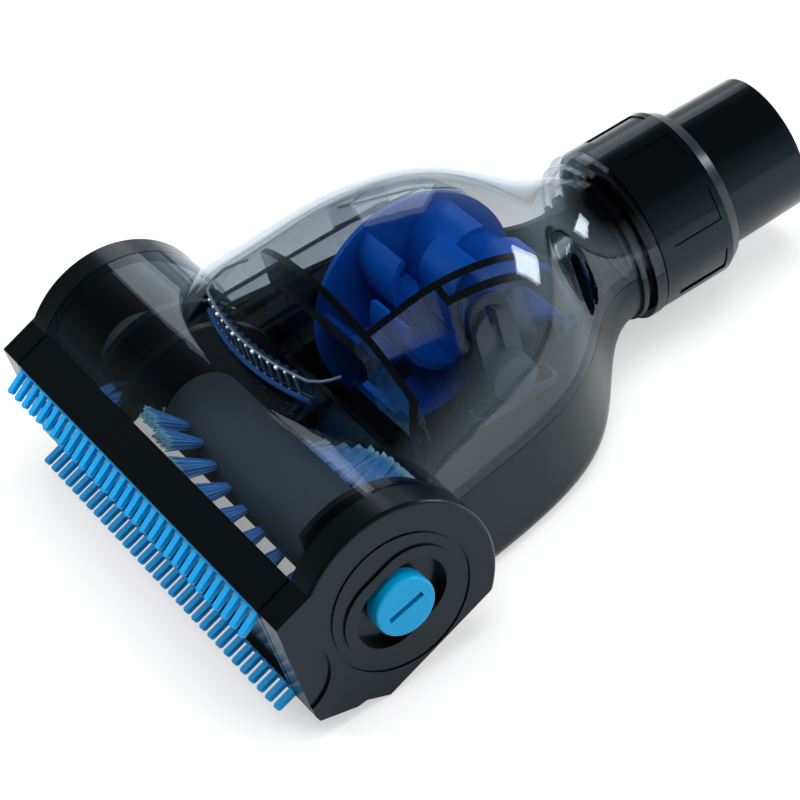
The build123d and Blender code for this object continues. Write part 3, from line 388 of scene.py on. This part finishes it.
def upright(across, forward, bottom, top, radius):
    """Bar that stands on the scoop's front wall."""
    return on_grip(across, forward, bottom), on_grip(across, forward, top), radius


def chain(corners, radius):
    """Bars from each place to the next."""
    return [(first, last, radius) for first, last in zip(corners, corners[1:])]


def rod(start, end, radius):
    """Round bar between two places."""
    run = end - start
    bpy.ops.mesh.primitive_cylinder_add(
        vertices=bar_sides,
        radius=radius,
        depth=run.length,
        location=(start + end) / 2,
        rotation=run.to_track_quat("Z", "Y").to_euler(),
    )


def piece_of_bars(name, bars, material):
    """One mesh made of round bars, each given by its two ends and its radius."""
    deselect_all()
    rod(*bars[0])
    piece = bpy.context.active_object
    piece.name = name
    bpy.ops.object.transform_apply(location=True, rotation=True, scale=True)
    bpy.ops.object.mode_set(mode="EDIT")
    for bar in bars[1:]:
        rod(*bar)
    bpy.ops.object.mode_set(mode="OBJECT")
    piece.data.materials.append(material)
    return piece


rib_places = [(number - (grip_ribs - 1) / 2) * grip_rib_pitch for number in range(grip_ribs)]
lip_spots = range(-half_lip_steps, half_lip_steps + 1)
lip_places = [grip_half_width * spot / half_lip_steps for spot in lip_spots]
lip = [roll_middle + Vector((*corner, grip_top)) for corner in reversed(left_turn)]
lip += [on_grip(across, lip_highlight_stand, grip_top) for across in lip_places]
lip += [roll_middle + Vector((*corner, grip_top)) for corner in right_turn]
# Pale bars along the rib edges, the lip and the foot are painted highlights.
highlight_bars = [
    upright(across, highlight_stand, grip_foot, grip_top, highlight_radius) for across in rib_places
]
highlight_bars += chain(lip, lip_highlight_radius)
foot_highlight_line = [on_grip(across, foot_highlight_stand, grip_foot) for across in lip_places]
highlight_bars += chain(foot_highlight_line, foot_highlight_radius)
painted_edge_highlight = plastic("grip_edge_highlight", (0.07, 0.10, 0.15), 0.10, 0.0)
edges = piece_of_bars("grip_painted_highlights", highlight_bars, painted_edge_highlight)
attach(edges, "head")


def glint(across, height, radius):
    """Short white bar on a rib: a painted glint."""
    ends = height - glint_half_length, height + glint_half_length
    return upright(across, glint_stand, *ends, radius)


# Painted glints on the ribs, and a painted highlight streak at the lip's right end.
glint_bars = [glint(rib_places[0], grip_top, small_glint)]
for number, across in enumerate(rib_places[1:]):
    glint_bars.append(glint(across, grip_top, large_glint if number % 3 == 1 else small_glint))
    glint_bars.append(glint(across, grip_foot + glint_half_length, small_glint))
glint_bars += chain(lip[-4:], highlight_streak_radius)
painted_glint_white = plastic("painted_glint_white", (0.62, 0.70, 0.76), 0.15, 0.0)
glints = piece_of_bars("grip_painted_glints", glint_bars, painted_glint_white)
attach(glints, "head")
rim_line = [on_grip(across, rim_stand, grip_foot - rim_drop) for across in lip_places]
rim_blue = plastic("grip_rim_blue", (0.010, 0.045, 0.16), 0.2, 0.0, **cool_gloss)
rim = piece_of_bars("grip_rim", chain(rim_line, rim_radius), rim_blue)
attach(rim, "head")
# Dark blue bars between the ribs: painted shade.
shade_bars = [
    upright(across + grip_rib_pitch / 2, shade_stand, grip_foot, grip_top, shade_radius)
    for across in rib_places[:-1]
]
painted_gap_shade = plastic("grip_painted_shade", (0.001, 0.006, 0.030), 0.3, 0.0, **cool_gloss)
gaps = piece_of_bars("grip_shade_bars", shade_bars, painted_gap_shade)
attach(gaps, "head")

# Painted shadow arcs: two black bars bent round the roll inside the window, on either side of
# the belt's chamber, paint dark lines of shade there. They follow its curve and stay clear of
# the bristles.
shadow_arc_stations = (-0.0425, -0.0255)
shadow_arc_sweep_radius, shadow_arc_bar_radius = 0.0266, 0.00055
shadow_arc_first, shadow_arc_last, shadow_arc_steps = 58, 142, 14


def on_shadow_arc(station, step):
    """Place on a painted shadow arc: round the roll's axis, from behind the top towards the
    front.
    """
    angle = radians(shadow_arc_first + (shadow_arc_last - shadow_arc_first) * step / shadow_arc_steps)
    reach = Vector((station, shadow_arc_sweep_radius * cos(angle), shadow_arc_sweep_radius * sin(angle)))
    return roll_middle + reach


shadow_arc_bars = []
for station in shadow_arc_stations:
    shadow_arc_bars += chain([on_shadow_arc(station, step) for step in range(shadow_arc_steps + 1)], shadow_arc_bar_radius)
# Black bars as painted shadow lines.
shadow_arcs = piece_of_bars("chamber_shadow_arcs", shadow_arc_bars, satin_black)
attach(shadow_arcs, "head")

# Turbine wheel: dark blue plastic with two rows of bowed vanes on one web. The air that
# passes on its way to the neck drives it.
turbine_blue = plastic("turbine_blue_plastic", (0.0, 0.070, 0.40), 0.3, 0.0, **cool_gloss)
finish_node("turbine_wheel", turbine_blue)

# Shafts, bushes and screws: ground steel shafts run in bushes of sintered bronze. The screws
# of the bracket and of the left cap are blackened.
steel = plastic("ground_steel", (0.55, 0.56, 0.58), 0.3, 0.0, Metallic=1.0)
for node in ("roll_axle", "turbine_shaft", "latch_screw"):
    finish_node(node, steel)
black_steel = plastic("blackened_steel", (0.03, 0.03, 0.035), 0.35, 0.0, Metallic=1.0)
for node in ("bracket_screws", "cap_screws"):
    finish_node(node, black_steel)
bronze = plastic("sintered_bronze", (0.5, 0.33, 0.16), 0.45, 0.0, Metallic=1.0)
for node in ("roll_bush_left", "roll_bush_right", "turbine_bush_left", "turbine_bush_right"):
    finish_node(node, bronze)

# Belt and seal: matte black rubber. The belt runs on the left in a chamber of its own, and
# the seal lies between the neck and the swivelling tube.
rubber = plastic("black_rubber", (0.015, 0.015, 0.016), 0.7, 0.2)
for node in ("drive_belt", "neck_seal"):
    finish_node(node, rubber)

# Collar and connector: black plastic, smoother than the shell. The collar turns on the neck,
# and the wand pushes into the swivelling tube.
collar_black = plastic("collar_black", (0.0016, 0.0022, 0.0026), 0.18, 0.02, **cool_gloss)
for node in ("collar_ring", "connector_tube"):
    finish_node(node, collar_black)

# Floor: a plain pale sheet that takes the object's shadow. To the camera half of its light
# is its own, so that the sheet stays white and the shadow pale.
floor_reach = 3.0
floor_drop = 0.0005
own_light = 0.5
bpy.ops.mesh.primitive_plane_add(size=2 * floor_reach, location=(0, 0, -floor_drop))
floor = bpy.context.active_object
floor.name = "studio_floor"
floor_white = plastic("studio_floor_white", (0.93, 0.93, 0.93), 0.9, 0.0)
floor_tree = floor_white.node_tree
floor_rays = floor_tree.nodes.new("ShaderNodeLightPath")
glow_share = arithmetic(floor_tree, "MULTIPLY", own_light)
glow = floor_tree.nodes.new("ShaderNodeEmission")
glow_mix = floor_tree.nodes.new("ShaderNodeMixShader")
link_all(
    floor_tree,
    (floor_rays.outputs["Is Camera Ray"], glow_share.inputs[0]),
    (glow_share.outputs["Value"], glow_mix.inputs["Fac"]),
    (floor_tree.nodes["Principled BSDF"].outputs["BSDF"], glow_mix.inputs[1]),
    (glow.outputs["Emission"], glow_mix.inputs[2]),
    (glow_mix.outputs["Shader"], output_of(floor_tree).inputs["Surface"]),
)
floor.data.materials.append(floor_white)

# World: a cool white room behind the object that grows dark overhead and in front, so
# that black plastic stays black; to the camera it is white all round.
world = bpy.data.worlds.new("studio_world")
bpy.context.scene.world = world
world.use_nodes = True
sky_tree = world.node_tree
sky = sky_tree.nodes["Background"]
direction = sky_tree.nodes.new("ShaderNodeTexCoord")
heading = sky_tree.nodes.new("ShaderNodeSeparateXYZ")
upward = sky_tree.nodes.new("ShaderNodeMapRange")
set_inputs(upward, {"From Min": 0.10, "From Max": 0.70, "To Min": 1.0, "To Max": 0.03})
behind = sky_tree.nodes.new("ShaderNodeMapRange")
set_inputs(behind, {"From Min": -0.25, "From Max": 0.55, "To Min": 0.18, "To Max": 1.0})
both = arithmetic(sky_tree, "MULTIPLY")
rays = sky_tree.nodes.new("ShaderNodeLightPath")
brighter = arithmetic(sky_tree, "MAXIMUM")
sky_colour = colour_mix(sky_tree, (0.80, 0.93, 1.0), (1, 1, 1))
link_all(
    sky_tree,
    (direction.outputs["Generated"], heading.inputs["Vector"]),
    (heading.outputs["Z"], upward.inputs["Value"]),
    (heading.outputs["Y"], behind.inputs["Value"]),
    (upward.outputs["Result"], both.inputs[0]),
    (behind.outputs["Result"], both.inputs[1]),
    (both.outputs["Value"], brighter.inputs[0]),
    (rays.outputs["Is Camera Ray"], brighter.inputs[1]),
    (rays.outputs["Is Camera Ray"], sky_colour.inputs["Factor"]),
    (sky_colour.outputs[2], sky.inputs["Color"]),
    (brighter.outputs["Value"], sky.inputs["Strength"]),
)


def softbox(name, at, target, width, height, power, mirrored):
    """Large rectangular lamp that faces a point; only some are seen in reflections."""
    lamp = bpy.data.lights.new(name, "AREA")
    lamp.shape = "RECTANGLE"
    lamp.size = width
    lamp.size_y = height
    lamp.energy = power
    holder = bpy.data.objects.new(name, lamp)
    bpy.context.scene.collection.objects.link(holder)
    holder.location = at
    holder.rotation_euler = (Vector(target) - Vector(at)).to_track_quat("-Z", "Y").to_euler()
    holder.visible_glossy = mirrored


softbox("softbox_top", (0.1, 0.1, 0.9), (0, 0, 0.03), 0.8, 0.8, 9.0, False)
softbox("softbox_left", (-0.6, -0.5, 0.6), (0, 0, 0.03), 0.6, 0.6, 6.0, False)
softbox("softbox_right", (0.7, 0.4, 0.5), (0, 0, 0.03), 0.5, 0.6, 4.0, False)
softbox("left_window", (-0.92, 0.42, 0.55), (-0.06, -0.068, 0.05), 0.36, 0.45, 0.8, True)
softbox("window_box", (0.09, 1.02, 0.40), (0.03, 0.01, 0.06), 0.26, 0.36, 3.2, True)

# Camera: at the photograph's angle, above the head's right-hand front corner. Its place and
# its lens were fitted to points read from the photograph.
camera_right = Vector((0.5255, 0.8208, -0.2238))
camera_up = Vector((-0.4604, 0.4956, 0.7365))
camera_back = Vector((0.7155, -0.2840, 0.6383))
camera_place = Vector((0.6064, -0.2628, 0.5581))
lens = bpy.data.cameras.new("photo_camera")
lens.sensor_width = 36.0
lens.lens = 138.3
lens.clip_start = 0.01
camera = bpy.data.objects.new("photo_camera", lens)
bpy.context.scene.collection.objects.link(camera)
turn = Matrix((camera_right, camera_up, camera_back)).transposed()
camera.matrix_world = Matrix.Translation(camera_place) @ turn.to_4x4()
bpy.context.scene.camera = camera
bpy.context.scene.view_settings.view_transform = "Standard"
